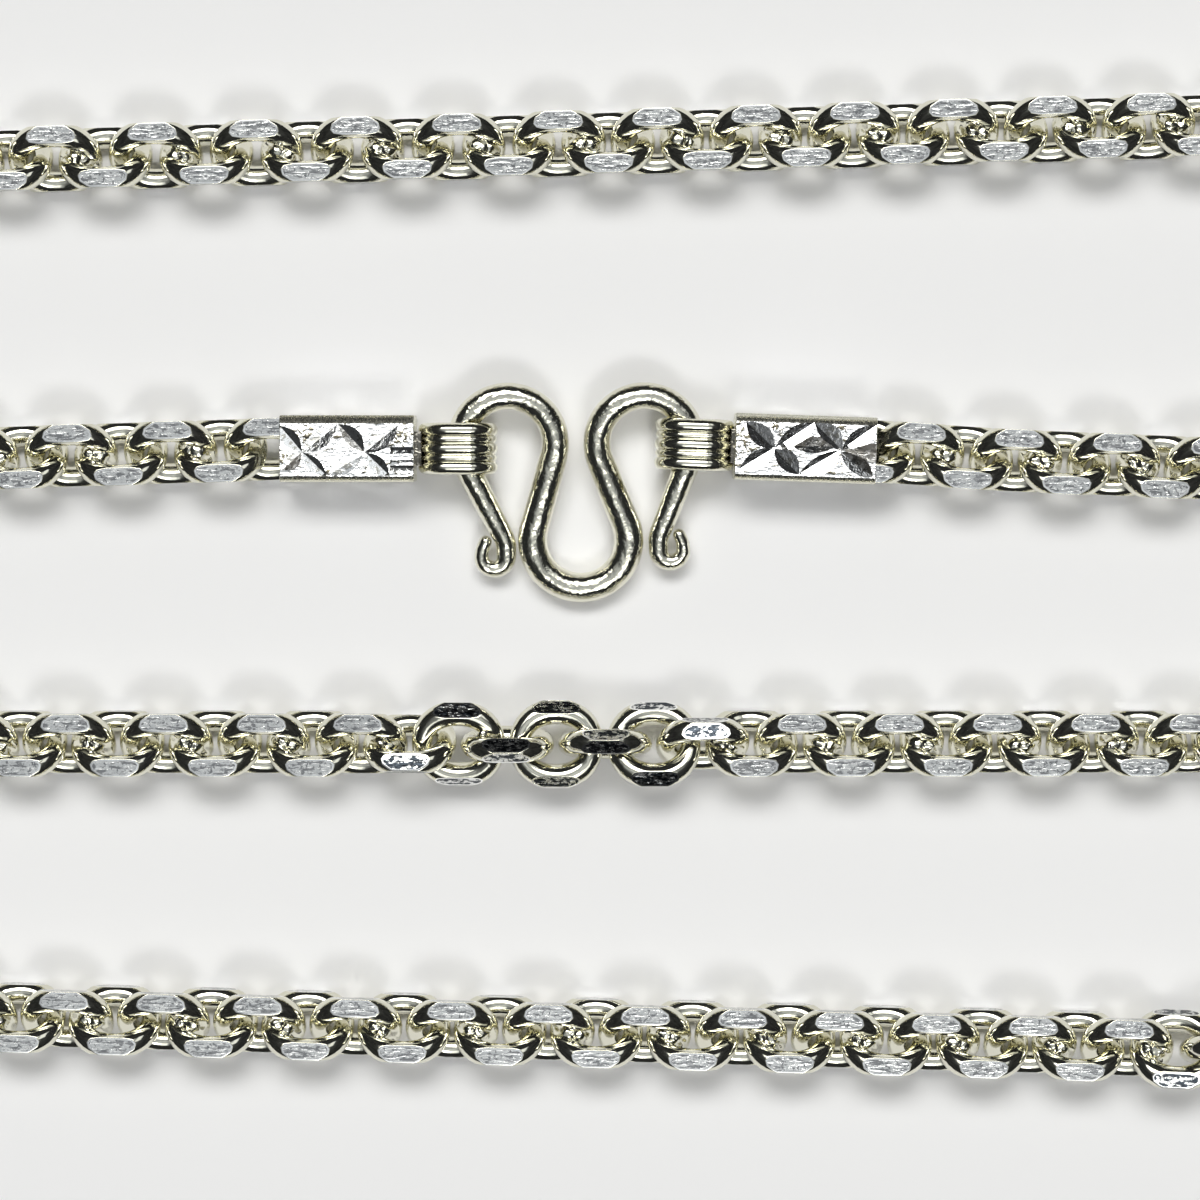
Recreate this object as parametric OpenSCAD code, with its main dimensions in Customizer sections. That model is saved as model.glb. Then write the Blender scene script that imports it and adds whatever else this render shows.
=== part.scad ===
// Diamond-cut anchor chain necklace lying folded in four runs, fastened with an M-shaped hook.
// Millimetres. X runs along the four runs, Y across them, Z is up and the chain rests on Z = 0.

/* [Chain link] */
// Diameter of the round wire
link_wire = 1.04; // [0.98:0.01:1.04]
// Radius of the ring, to the middle of the wire
link_radius = 1.83; // [1.83:0.005:1.85]
// Side of the square that the diamond cutting leaves
chain_square = 3.16; // [3.12:0.02:3.2]

/* [Chain route] */
// X of the turns at the left
turn_left = -52.95; // [-52.95:0.05:-52.8]
// X of the small turn at the right
turn_inner = 46.65; // [46.5:0.05:46.65]
// X of the wide turn at the right
turn_outer = 74.8; // [74.5:0.1:74.8]
// Middle of the whole necklace along X, moved to X = 0
middle_x = 10.896; // [10:0.002:12]
// Middle of the whole necklace along Y, moved to Y = 0
middle_y = 0.519; // [0:0.001:1]

/* [End caps] */
// Side of the square end cap
cap_side = 3.3; // [3.2:0.05:3.4]
// Chamfer along its edges
cap_chamfer = 0.25; // [0.15:0.05:0.35]
// Length of the left cap
left_cap_length = 6.66; // [6.4:0.02:6.9]
// Length of the right cap
right_cap_length = 7; // [6.8:0.02:7.2]
// Depth of the leaf-shaped cuts
leaf_depth = 0.16; // [0.1:0.01:0.2]
// Half width of the leaf-shaped cuts
leaf_half_width = 0.36; // [0.3:0.02:0.4]

/* [Ribbed rings] */
// Height of a ribbed ring
ring_height = 3.1; // [3:0.05:3.2]
// Length of a ribbed ring along the necklace
ring_length = 3.96; // [3.9:0.02:4.1]
// Thickness of its wall under the wide ribs
ring_wall = 0.5; // [0.46:0.01:0.56]
// Distance between the wide ribs
rib_pitch = 0.93; // [0.9:0.01:0.95]
// Diameter of the wide ribs
rib_wide = 0.72; // [0.66:0.02:0.74]
// Diameter of the narrow ribs between them
rib_narrow = 0.4; // [0.36:0.02:0.44]

/* [Hook] */
// Diameter of the wire round the two lobes
hook_wire = 1.34; // [1.28:0.02:1.38]
// Diameter of the wire in the middle bend, which is thicker
bend_wire = 1.48; // [1.42:0.02:1.5]
// Diameter of the arms where they leave the lobes
arm_wire = 1.3; // [1.2:0.02:1.32]
// Diameter of the arms where they meet the curls
arm_low = 0.98; // [0.9:0.02:1]
// Diameter of the curled tips
tip_wire = 0.66; // [0.6:0.02:0.7]
// Tilt of the hook, whose middle bend rests on the ground
hook_tilt = 7; // [6.6:0.1:7.4]

/* [Hidden] */
$fn = 96;
link_last = 195;
half = 98;

// Corners of the route with the radius of each bend, from the left cap round to the right cap
route = [
    [-16, 7.55, 0], [turn_left, 6.35, 7.2], [turn_left, 21.2, 7.2],
    [turn_outer, 24.95, 22.9], [turn_outer, -23, 22.9], [30, -22.55, 60],
    [turn_left, -20.35, 6.5], [turn_left, -7.2, 6.5],
    [turn_inner, -7.15, 6.4], [turn_inner, 5.9, 6.4], [20.4, 6.98, 60], [13.3, 7.47, 0]
];
// Way along the route by link number
way = [
    [0, 0.45], [5, 12.88], [29, 71.45], [39, 96.54], [51, 125.86], [101, 249.14],
    [111, 273.35], [123, 302.36], [147, 360.23], [171, 418.77], [189, 462.31], [195, 476.98]
];
// Roll of the chain about its own line by link number
roll = [
    [0, -45], [92, -45], [93, -44.6], [94, -38.8], [95, -33.1], [96, -16.3], [97, 0.2],
    [98, 7.4], [99, 15.6], [100, 33.4], [101, 45], [153, 45], [154, 44.5], [155, 33.8],
    [156, 14.9], [157, 7.2], [158, 0], [159, -9.2], [160, -18.7], [161, -32.9], [162, -45],
    [195, -45]
];
// Lift of the chain's line above its resting height by link number
lift = [
    [0, 0], [88, 0], [89, 0.001], [90, 0.003], [91, 0.006], [92, 0.022],
    [93, 0.078], [94, 0.189], [95, 0.357], [96, 0.565], [97, 0.666], [98, 0.656],
    [99, 0.615], [100, 0.34], [101, 0.134], [102, 0.036], [103, 0.01], [104, 0.004],
    [105, 0.003], [106, 0.001], [107, 0], [148, 0], [149, 0.001], [150, 0.003],
    [151, 0.004], [152, 0.01], [153, 0.038], [154, 0.137], [155, 0.336], [156, 0.58],
    [157, 0.649], [158, 0.658], [159, 0.644], [160, 0.54], [161, 0.35], [162, 0.137],
    [163, 0.037], [164, 0.01], [165, 0.004], [166, 0.003],
    [167, 0.001], [168, 0], [195, 0]
];

function xy(p) = [p[0], p[1]];
function dir(a, b) = (xy(b) - xy(a)) / norm(xy(b) - xy(a));
function turn(u, v) = atan2(u[0] * v[1] - u[1] * v[0], u * v);
corners = len(route) - 2;
runs = [for (i = [0:corners]) dir(route[i], route[i + 1])];
bends = [for (i = [1:corners]) turn(runs[i - 1], runs[i])];
backs = [0, for (i = [1:corners]) route[i][2] * tan(abs(bends[i - 1]) / 2), 0];
lines = [for (i = [0:corners]) norm(xy(route[i + 1]) - xy(route[i])) - backs[i] - backs[i + 1]];
arcs = [for (i = [1:corners]) route[i][2] * abs(bends[i - 1]) * PI / 180];
starts = [for (i = 0, s = 0; i <= corners; s = s + lines[i] + (i < corners ? arcs[i] : 0), i = i + 1) s];

// Place [x, y, heading] at a way along the route
function place(s, i = 0) =
    i < corners && s > starts[i + 1] ? place(s, i + 1) :
    let (a = xy(route[i]) + runs[i] * backs[i], t = s - starts[i], h = atan2(runs[i][1], runs[i][0]))
    t <= lines[i] || i == corners ? [each (a + runs[i] * t), h] :
    let (
        r = route[i + 1][2], g = sign(bends[i]), q = (t - lines[i]) / r * 180 / PI,
        b = a + runs[i] * lines[i], n = [-runs[i][1], runs[i][0]] * g
    ) [each (b + runs[i] * r * sin(q) + n * r * (1 - cos(q))), h + g * q];
function climb(i) =
    let (a = max(i - 1, 0), b = min(i + 1, link_last))
    atan2(lookup(b, lift) - lookup(a, lift), lookup(b, way) - lookup(a, way));

// One soldered link: a round-wire ring trimmed flat on the four sides of the chain
module link() {
    intersection() {
        rotate_extrude() translate([link_radius, 0]) circle(d = link_wire, $fn = 48);
        rotate([45, 0, 0]) cube([5, chain_square, chain_square], center = true);
    }
}

module link_at(i) {
    p = place(lookup(i, way));
    translate([p[0] - middle_x, p[1] - middle_y, chain_square / 2 + lookup(i, lift)])
        rotate([0, 0, p[2]]) rotate([0, -climb(i), 0])
            rotate([lookup(i, roll) + (i % 2) * 90, 0, 0]) link();
}

// Leaf-shaped cuts on one face, from the chain end of the cap: along, across, along, across
left_leaves = [
    [0.02, 1.13, 1.1, -0.18], [0.1, -1.16, 1.08, -0.32], [1.17, -0.18, 2.78, 1.14],
    [1.17, -0.32, 2.3, -1.2], [4.08, -0.18, 2.92, 1.14], [4.06, -0.32, 2.42, -1.2],
    [4.18, -0.18, 5.8, 1.1], [4.18, -0.32, 5.4, -1.2]
];
right_leaves = [
    [0.1, 1.12, 1.72, -0.02], [0.12, -1.2, 1.72, -0.14], [1.84, -0.02, 3.06, 1.16],
    [1.84, -0.14, 3.62, -1.2], [4.96, 0.1, 3.2, 1.16], [4.96, -0.02, 3.88, -1.2],
    [5.08, 0.1, 6.4, 1.14], [5.08, -0.02, 6.66, -1.1]
];

// A cut by a wheel with a V edge into the plane Z = 0
module leaf(q) {
    mid = [(q[0] + q[2]) / 2, (q[1] + q[3]) / 2];
    reach = norm([q[2] - q[0], q[3] - q[1]]) / 2;
    wheel = (reach * reach + leaf_depth * leaf_depth) / (2 * leaf_depth);
    slope = leaf_depth / leaf_half_width;
    for (side = [-90, 90])
        translate([mid[0], mid[1], wheel - leaf_depth])
            rotate([0, 0, atan2(q[3] - q[1], q[2] - q[0])])
                rotate([side, 0, 0])
                    cylinder(h = 0.6, r1 = wheel, r2 = wheel - 0.6 * slope);
}

// Square cap along X from the chain end, with its middle on the X axis
module cap_body(long, leaves, turned) {
    h = cap_side / 2;
    k = h - cap_chamfer;
    difference() {
        intersection() {
            rotate([90, 0, 90]) linear_extrude(long)
                polygon([[h, k], [k, h], [-k, h], [-h, k], [-h, -k], [-k, -h], [k, -h], [h, -k]]);
            translate([0, 0, -h]) linear_extrude(cap_side)
                polygon([
                    [0, -h], [0, h], [long - 0.25, h], [long, h - 0.35],
                    [long, 0.35 - h], [long - 0.25, -h]
                ]);
        }
        translate([-1, -1.22, -1.22]) cube([1.35, 2.44, 2.44]);
        for (face = [0:90:270]) rotate([face, 0, 0]) translate([0, 0, h])
            for (q = leaves) leaf([q[0], q[1] * turned, q[2], q[3] * turned]);
    }
}

// Half section of the ring: ribs outside, flat inside
module rib_section() {
    difference() {
        translate([ring_height / 2 - rib_wide / 2, 0]) {
            for (y = [-rib_pitch:rib_pitch:rib_pitch]) translate([0, y]) circle(d = rib_wide, $fn = 48);
            for (y = [-rib_pitch / 2, rib_pitch / 2]) translate([0.12, y]) circle(d = rib_narrow, $fn = 48);
            translate([-0.24, -rib_pitch]) square([0.36, 2 * rib_pitch]);
        }
        translate([0, -2]) square([ring_height / 2 - ring_wall, 4]);
    }
}

// Ribbed ring from x = 0 to ring_length, open along Y
module ribbed_ring() {
    r = ring_height / 2;
    rotate([-90, 0, 0]) {
        translate([r, 0]) rotate([0, 0, 90]) rotate_extrude(angle = 180) rib_section();
        translate([ring_length - r, 0]) rotate([0, 0, -90]) rotate_extrude(angle = 180) rib_section();
    }
    for (side = [0, 180])
        translate([r, 0, 0]) rotate([side, 0, 0]) rotate([90, 0, 90]) linear_extrude(ring_length - 2 * r)
                rotate([0, 0, 90]) rib_section();
}

// Cap with its ring and the link soldered into it, along X from the chain end
module end_cap(long, gap, leaves, turned) {
    cap_body(long, leaves, turned);
    translate([long - 0.1, -1.1, -1.1]) cube([gap + 0.3, 2.2, 2.2]);
    translate([long + gap, 0, 0]) ribbed_ring();
}

module left_end_cap() {
    color("silver") {
        translate([-9.22 - middle_x, 7.57 - middle_y, cap_side / 2])
            translate([-left_cap_length, 0, 0]) end_cap(left_cap_length, 0.16, left_leaves, 1);
        link_at(0);
    }
}

module right_end_cap() {
    color("silver") {
        translate([6.7 - middle_x, 7.7 - middle_y, cap_side / 2]) rotate([0, 0, 178])
            translate([-right_cap_length, 0, 0]) end_cap(right_cap_length, 0.02, right_leaves, -1);
        link_at(link_last);
    }
}

module chain_first_half() {
    color("silver") for (i = [1:half - 1]) link_at(i);
}

module chain_second_half() {
    color("silver") for (i = [half:link_last - 1]) link_at(i);
}

// Hook in its own plane: lobes and middle bend as [x, y, radius]
left_lobe = [-4.6, 7.88, 2.375];
right_lobe = [2.22, 7.9, 2.375];
low_bend = [-0.965, 3, 2.41];

module bow(o, from, to, wire) {
    translate([o[0], o[1], 0]) rotate([0, 0, from])
        rotate_extrude(angle = to - from) translate([o[2], 0]) circle(d = wire, $fn = 48);
}

// Straight round rod that runs on past both of its ends by e
module rod(a, b, d1, d2, e) {
    long = norm(b - a);
    step = (d2 - d1) / long * e;
    translate([a[0], a[1], 0]) rotate([0, 0, atan2(b[1] - a[1], b[0] - a[0])]) rotate([0, 90, 0])
        translate([0, 0, -e]) cylinder(h = long + 2 * e, d1 = d1 - step, d2 = d2 + step, $fn = 48);
}

function on(o, angle) = [o[0] + o[2] * cos(angle), o[1] + o[2] * sin(angle)];
function heading(a, b) = atan2(b[1] - a[1], b[0] - a[0]);
// Angle at which the straight piece leaves a lobe for the middle bend, g = 1 right lobe, -1 left
function leave(lobe, g) =
    heading(low_bend, lobe) - g * acos((lobe[2] + low_bend[2]) / norm(xy(lobe) - xy(low_bend)));

// Right-hand arm from its lobe, which it leaves at the angle bend, down to the curled tip
module arm(lobe, bend, long) {
    a = on(lobe, -bend);
    b = a + [-sin(bend), -cos(bend)] * long;
    soft = [b[0] + 1.5 * cos(bend), b[1] - 1.5 * sin(bend), 1.5];
    c = on(soft, 180);
    curl = [c[0] + 0.62, c[1] - 0.4, 0.62];
    back = on(curl, 0);
    lean = [back[0] - 1.5, back[1], 1.5];
    tip = on(lean, 24);
    rod(a, b, arm_wire, arm_low, 0.06);
    bow(soft, 180 - bend, 180, arm_low - 0.04);
    rod(c, on(curl, 180), arm_low - 0.1, tip_wire + 0.03, 0.05);
    bow(curl, 180, 360, tip_wire);
    bow(lean, 0, 24, tip_wire - 0.03);
    rod(tip, tip + [-0.41, 0.91] * 0.22, tip_wire - 0.05, tip_wire - 0.2, 0.05);
}

module m_hook() {
    left_off = leave(left_lobe, -1);
    right_off = leave(right_lobe, 1);
    wire = bend_wire - 0.04;
    color("silver") translate([-middle_x, 0.59 - middle_y, bend_wire / 2 + 0.004])
        rotate([hook_tilt, 0, 0]) translate([0, -0.59, 0]) {
            bow(left_lobe, left_off - 180, 180 + 27.4, hook_wire);
            bow(right_lobe, -21.3, right_off + 180, hook_wire);
            bow(low_bend, left_off, right_off + 360, bend_wire);
            rod(on(left_lobe, left_off - 180), on(low_bend, left_off), wire, wire, 0.05);
            rod(on(right_lobe, right_off + 180), on(low_bend, right_off), wire, wire, 0.05);
            arm(right_lobe, 21.3, 3.85);
            mirror([1, 0, 0]) arm([-left_lobe[0], left_lobe[1], left_lobe[2]], 27.4, 4);
        }
}

chain_first_half();
chain_second_half();
left_end_cap();
right_end_cap();
m_hook();
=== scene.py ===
"""Looks of a diamond-cut anchor chain necklace that lies folded in four runs, with an M-shaped hook.

Blender works in metres in the CAD's own frame, and sizes here are in millimetres. X runs along the four
runs, Y across them, and Z is up from the surface that the necklace lies on.
"""

import collections
import math

import bmesh
import bpy
import numpy as np
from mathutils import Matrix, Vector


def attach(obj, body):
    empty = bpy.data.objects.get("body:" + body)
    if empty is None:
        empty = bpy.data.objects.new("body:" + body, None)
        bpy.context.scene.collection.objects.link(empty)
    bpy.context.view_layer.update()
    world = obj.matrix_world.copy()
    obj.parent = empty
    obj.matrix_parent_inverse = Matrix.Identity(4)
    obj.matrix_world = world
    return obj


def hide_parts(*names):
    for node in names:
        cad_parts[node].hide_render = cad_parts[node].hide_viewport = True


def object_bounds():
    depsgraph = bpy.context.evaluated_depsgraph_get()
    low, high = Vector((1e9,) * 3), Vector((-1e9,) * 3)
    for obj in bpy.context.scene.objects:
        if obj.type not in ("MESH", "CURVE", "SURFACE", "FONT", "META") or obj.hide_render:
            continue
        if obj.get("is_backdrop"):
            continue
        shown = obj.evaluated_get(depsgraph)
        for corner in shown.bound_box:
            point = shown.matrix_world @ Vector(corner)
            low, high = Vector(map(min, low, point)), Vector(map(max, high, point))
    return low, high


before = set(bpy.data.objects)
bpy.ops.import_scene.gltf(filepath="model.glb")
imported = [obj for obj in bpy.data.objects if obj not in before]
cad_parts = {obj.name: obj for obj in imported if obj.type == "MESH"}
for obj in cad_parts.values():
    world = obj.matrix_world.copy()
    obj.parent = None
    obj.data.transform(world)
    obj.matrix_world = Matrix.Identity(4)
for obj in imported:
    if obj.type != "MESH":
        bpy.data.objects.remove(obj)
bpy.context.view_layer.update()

# A link is a ring of round silver wire, a little fuller and closer at its two sides. A diamond tool cut
# the four sides of the soldered chain flat, so each link has four bright facets, finely scratched along
# the chain, with a rounded border that the polishing left.

MM = 0.001
LINK_RADIUS, WIRE_RADIUS = 1.83, 0.52  # the first to the middle of the wire
SQUARE = 1.55  # half the side of the square that the diamond tool leaves
NARROW, SWELL = 0.20, 0.12  # how far a link's two sides move in, and how much thicker they are
AROUND, TUBE = 40, 16  # faces round a link and round its wire
ROUNDING, BORDER, TILT = 0.035, 0.085, 8  # beyond a facet's edge, within it, and its tilt in degrees
TILT_SHARES = (0.4, 1, 1)  # how much of the tilt goes along the facet and across it
PLANES = np.array([(0, y, z) for y in (1, -1) for z in (1, -1)]) / math.sqrt(2)
FACET_CORNERS = 8  # only facets have more corners than this
ON_PLANE, MERGED = 1e-4, 0.004  # how near a point of a facet is to its plane, and points that merge
LINE_POINTS = 720  # of the wire's middle line, where its nearest point is looked for
SILVER = (0.80, 0.783, 0.665, 1)
GRAIN_CLOSENESS, PIT_CLOSENESS = (6500, 6500, 6500), (4500, 4500, 4500)  # to a metre along each axis
PATCH_CLOSENESS = (1500, 2300, 1900)
WORN_PITS, WORN_STAIN = 14.0, 0.4  # how much deeper and darker the pits of a worn spot are

# A mesh in millimetres: its points, the corners of all faces in one row, how many corners each face
# has, the place of its silver in the piece's list, and the normals of the points, or None
Shape = collections.namedtuple("Shape", "points corners counts slots normals")


def unit(v):
    """Vectors divided by their lengths."""
    return v / np.linalg.norm(v, axis=-1, keepdims=True)


def skin(rows, columns, ring=False):
    """Four-cornered faces of a grid of points whose columns go round, and its rows too where ring."""
    i, j = np.meshgrid(np.arange(rows if ring else rows - 1), np.arange(columns), indexing="ij")
    ahead, beside = (i + 1) % rows * columns, (j + 1) % columns
    return np.stack([i * columns + j, ahead + j, ahead + beside, i * columns + beside], -1).reshape(-1, 4)


def wire_at(turn):
    """Middle line and radius of a link's wire at an angle round it.

    The line is a circle that loses NARROW times the cube of the sine, and the wire gains SWELL times
    the sine to the power of 1.2.
    """
    side = np.abs(np.sin(turn))
    radius = LINK_RADIUS - NARROW * side**3
    line = np.stack([radius * np.cos(turn), radius * np.sin(turn), 0 * turn], -1)
    return line, WIRE_RADIUS + SWELL * side**1.2


def trimmed_link():
    """A link lying in X and Y: a circle carried along wire_at, then cut off beyond the four planes."""
    turn = 2 * math.pi * (np.arange(AROUND) + 0.5) / AROUND
    line, radius = wire_at(turn)
    ahead = wire_at(turn + 0.01)[0] - wire_at(turn - 0.01)[0]
    out = unit(np.stack([ahead[:, 1], -ahead[:, 0], 0 * turn], -1))
    round_wire = 2 * math.pi * np.arange(TUBE)[:, None] / TUBE
    circle = out[:, None] * np.cos(round_wire) + np.array([0, 0, 1]) * np.sin(round_wire)
    points = line[:, None] + radius[:, None, None] * circle
    mesh = bpy.data.meshes.new("link")
    mesh.from_pydata(points.reshape(-1, 3).tolist(), [], skin(AROUND, TUBE, True).tolist())
    bm = bmesh.new()
    bm.from_mesh(mesh)
    bpy.data.meshes.remove(mesh)
    for plane in PLANES:
        cut = bmesh.ops.bisect_plane(
            bm, geom=bm.verts[:] + bm.edges[:] + bm.faces[:], dist=1e-7,
            plane_co=plane * SQUARE, plane_no=plane, clear_outer=True,
        )
        edges = [e for e in cut["geom_cut"] if isinstance(e, bmesh.types.BMEdge)]
        bmesh.ops.edgeloop_fill(bm, edges=edges)
    bmesh.ops.remove_doubles(bm, verts=bm.verts[:], dist=MERGED)
    return bm


def on_planes(points):
    """Whether each point lies on each of the four planes."""
    return np.abs(points @ PLANES.T - SQUARE) < ON_PLANE


def make_link():
    """The link's shape, with a bevelled edge and an inset border round each facet.

    A normal is the wire's own on the ring and the plane's on a facet. On the border's outer line it
    tilts by TILT, away from the facet's middle.
    """
    bm = trimmed_link()
    edges = {e for f in bm.faces if len(f.verts) > FACET_CORNERS for e in f.edges}
    bmesh.ops.bevel(
        bm, geom=list(edges), offset=ROUNDING, segments=1, profile=0.5, affect="EDGES", clamp_overlap=True,
    )
    facets = [f for f in bm.faces if len(f.verts) > FACET_CORNERS]
    middles = np.array([f.calc_center_median()[:] for f in facets])
    hits = on_planes(middles)
    facets = [f for f, hit in zip(facets, hits) if hit.any()]
    middles = middles[hits.argmax(0)]
    outer = {v for f in facets for v in f.verts}
    bmesh.ops.inset_individual(bm, faces=facets, thickness=BORDER, use_even_offset=True)
    bmesh.ops.recalc_face_normals(bm, faces=bm.faces[:])
    bm.verts.index_update()
    points = np.array([v.co[:] for v in bm.verts])
    on_edge = np.array([v in outer for v in bm.verts])
    counts = np.array([len(f.verts) for f in bm.faces])
    corners = np.array([v.index for f in bm.faces for v in f.verts])
    bm.free()
    on = on_planes(points)
    which = on.argmax(1)
    line = wire_at(np.linspace(0, 2 * np.pi, LINE_POINTS, endpoint=False))[0]
    nearest = ((points[:, None, :2] - line[None, :, :2]) ** 2).sum(2).argmin(1)
    away = unit((points - middles[which]) * TILT_SHARES)
    facing = PLANES[which] + away * math.tan(math.radians(TILT)) * on_edge[:, None]
    normals = unit(np.where(on.any(1)[:, None], facing, points - line[nearest]))
    flat = np.logical_and.reduceat(on[corners], np.cumsum(counts) - counts, axis=0).any(1)
    slots = np.where(flat, np.where(counts > FACET_CORNERS, 1, 3), 0)
    return Shape(points, corners, counts, slots, normals)


class Signal:
    """What comes out of a node. Sums, differences, products and quotients of it add Math nodes."""

    def __init__(self, tree, socket=None):
        self.tree = tree
        self.socket = socket

    def node(self, kind, settings, sockets, out=0):
        """Adds any node to the tree: its settings first, then the value or the link of each socket."""
        new = self.tree.nodes.new("ShaderNode" + kind)
        for name, value in settings.items():
            if name != "stops":
                setattr(new, name, value)
                continue
            while len(new.color_ramp.elements) < len(value):
                new.color_ramp.elements.new(0.5)
            for element, (at, tone) in zip(new.color_ramp.elements, value):
                element.position = at
                element.color = (*tone, 1) if isinstance(tone, tuple) else (tone, tone, tone, 1)
        for name, value in sockets.items():
            if isinstance(value, Signal):
                self.tree.links.new(value.socket, new.inputs[name])
            else:
                new.inputs[name].default_value = value
        return Signal(self.tree, new.outputs[out]) if len(new.outputs) else None

    def maths(self, operation, *values):
        """Adds a Math node of one value or two."""
        return self.node("Math", {"operation": operation}, dict(enumerate(values)))

    def __add__(self, other):
        return self.maths("ADD", self, other)

    def __sub__(self, other):
        return self.maths("SUBTRACT", self, other)

    def __rsub__(self, other):
        return self.maths("SUBTRACT", other, self)

    def __mul__(self, other):
        return self.maths("MULTIPLY", self, other)

    def __truediv__(self, other):
        return self.maths("DIVIDE", self, other)

    def __rtruediv__(self, other):
        return self.maths("DIVIDE", other, self)

    __radd__, __rmul__ = __add__, __mul__

    def most(self, other):
        """The larger of two values."""
        return self.maths("MAXIMUM", self, other)

    def ramp(self, *stops):
        """Reads a ramp whose stops are a place and a grey or a colour."""
        return self.node("ValToRGB", {"stops": stops}, {0: self})

    def noise(self, closeness, detail, rough, twist=0.0):
        """Noise on a place, so many blotches to a metre along each axis."""
        spread = self.node("VectorMath", {"operation": "MULTIPLY"}, {0: self, 1: closeness})
        sockets = {"Vector": spread, "Scale": 1.0, "Detail": detail, "Roughness": rough, "Distortion": twist}
        return spread.node("TexNoise", {}, sockets)

    def bumps(self, depth, below=None):
        """Bumps that are as high as this signal times depth in mm, on top of those below."""
        sockets = {"Height": self, "Distance": depth * MM}
        if below is not None:
            sockets["Normal"] = below
        return self.node("Bump", {}, sockets)


def new_material(name):
    """An empty material, and the place on the object that its patterns are drawn by."""
    material = bpy.data.materials.new(name)
    material.use_nodes = True
    material.node_tree.nodes.clear()
    return material, Signal(material.node_tree).node("TexCoord", {}, {}, "Object")


def add_metal(where, colour, rough, normal):
    """Ends a material's nodes in a bare metal."""
    sockets = {"Base Color": colour, "Metallic": 1.0, "Roughness": rough, "Normal": normal}
    where.node("OutputMaterial", {}, {"Surface": where.node("BsdfPrincipled", {}, sockets)})


def wire_silver(name, dents=0.02, closeness=900, grain=0.0012, rough=(0.05, 0.13), tone=SILVER):
    """Polished silver with soft dents and the fine grain of drawn wire, which also dulls it."""
    material, where = new_material(name)
    dent = where.noise((closeness,) * 3, 2, 0.5, 0.4)
    fine = where.noise(GRAIN_CLOSENESS, 3, 0.6)
    dull = fine.ramp((0.35, rough[0]), (0.7, rough[1]))
    add_metal(where, tone, dull, fine.bumps(grain, dent.bumps(dents)))
    return material


def cut_silver(name, closeness, deep, pits, rough, clean, stain_and_shade, share, worn=()):
    """Silver cut flat: scratches, frosted patches and pits, stained where they are deep, and worn spots.

    closeness is that of the scratches, share is how much is left clean, and a worn spot is a place and
    a radius. The stain colour is a real stain on most silvers, and painted shade on the twisted links'
    facets.
    """
    material, where = new_material(name)
    scratch = where.noise(closeness, 3, 0.6, 0.3)
    patch = where.noise(PATCH_CLOSENESS, 4, 0.65, 0.8)
    pit = where.noise(PIT_CLOSENESS, 2, 0.5, 0.6)
    dull = patch.ramp((0.38, rough[0]), (0.5, rough[1]), (0.62, rough[2]))
    wear = 0.0
    for spot, radius in worn:
        spot = [c * MM for c in spot]
        away = where.node("VectorMath", {"operation": "DISTANCE"}, {0: where, 1: spot}, "Value")
        wear = (1.0 - away / (radius * MM)).most(wear)
    surface = ((wear * WORN_PITS + 1.0) * pit).bumps(pits, scratch.bumps(deep))
    stain_and_shade_mask = ((patch - 0.5) * 0.5 + scratch).most((wear * WORN_STAIN + 0.9) * pit)
    add_metal(where, stain_and_shade_mask.ramp((share, clean), (share + 0.05, stain_and_shade)), dull, surface)
    return material


FACET_LOOK = {"deep": 0.026, "pits": 0.003, "rough": (0.08, 0.15, 0.28), "clean": (0.79, 0.795, 0.78)}
WIRE_SILVER = wire_silver("silver_wire")
FACET_SILVER = cut_silver(
    "silver_facet", (1300, 6500, 6500), stain_and_shade=(0.32, 0.325, 0.33), share=0.515, **FACET_LOOK
)
# Painted shade: the facets of the links in the twists lean towards the bright panels, so this silver's
# near-black stain darkens them to keep them from glaring white.
PAINTED_SHADE_FACET_SILVER = cut_silver(
    "silver_turned_facet_painted_shade", (2200, 5200, 5200), stain_and_shade=(0.035, 0.042, 0.05), share=0.475, **FACET_LOOK
)
BORDER_SILVER = cut_silver(
    "silver_border", (3000,) * 3, 0.006, 0.001, (0.05, 0.10, 0.16), (0.97, 0.97, 0.955), (0.5,) * 3, 0.9
)
LINK = make_link()

# Each link is soldered shut at one of its two ends, after it is hooked through the last one. The solder
# stands up there in two bright lumps, and the wire beside them is uneven.

SOLDERED = 1.65  # from a link's middle to the middle of its joint
RAGGED, RAGGED_REACH = 0.35, 0.45  # how far normals stray at the joint, and how far round it, squared
# Two lumps: place along as a share of SOLDERED, place across in mm, then half sizes
LUMPS = [(0.88, -0.08, (0.58, 0.56, 0.46)), (0.76, 0.62, (0.30, 0.26, 0.28))]
LUMP_RISE = 0.55  # of a lump's middle over the link's own
SWELLINGS, SWELLING_REACH = 9, 0.22  # of a lump, and how far round each it swells, squared
LEAST, SWOLLEN = 0.72, 0.34  # share of a lump's size that it has everywhere, and what a swelling adds
SOLDER_SILVER = wire_silver("silver_solder", dents=0.20, closeness=1500, grain=0.0036)


def solder_ball():
    """Points and faces of an even ball of radius 1."""
    bm = bmesh.new()
    bmesh.ops.create_icosphere(bm, subdivisions=2, radius=1)
    points = np.array([v.co[:] for v in bm.verts])
    faces = np.array([[v.index for v in f.verts] for f in bm.faces])
    bm.free()
    return points, faces


BALL, BALL_FACES = solder_ball()


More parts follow.
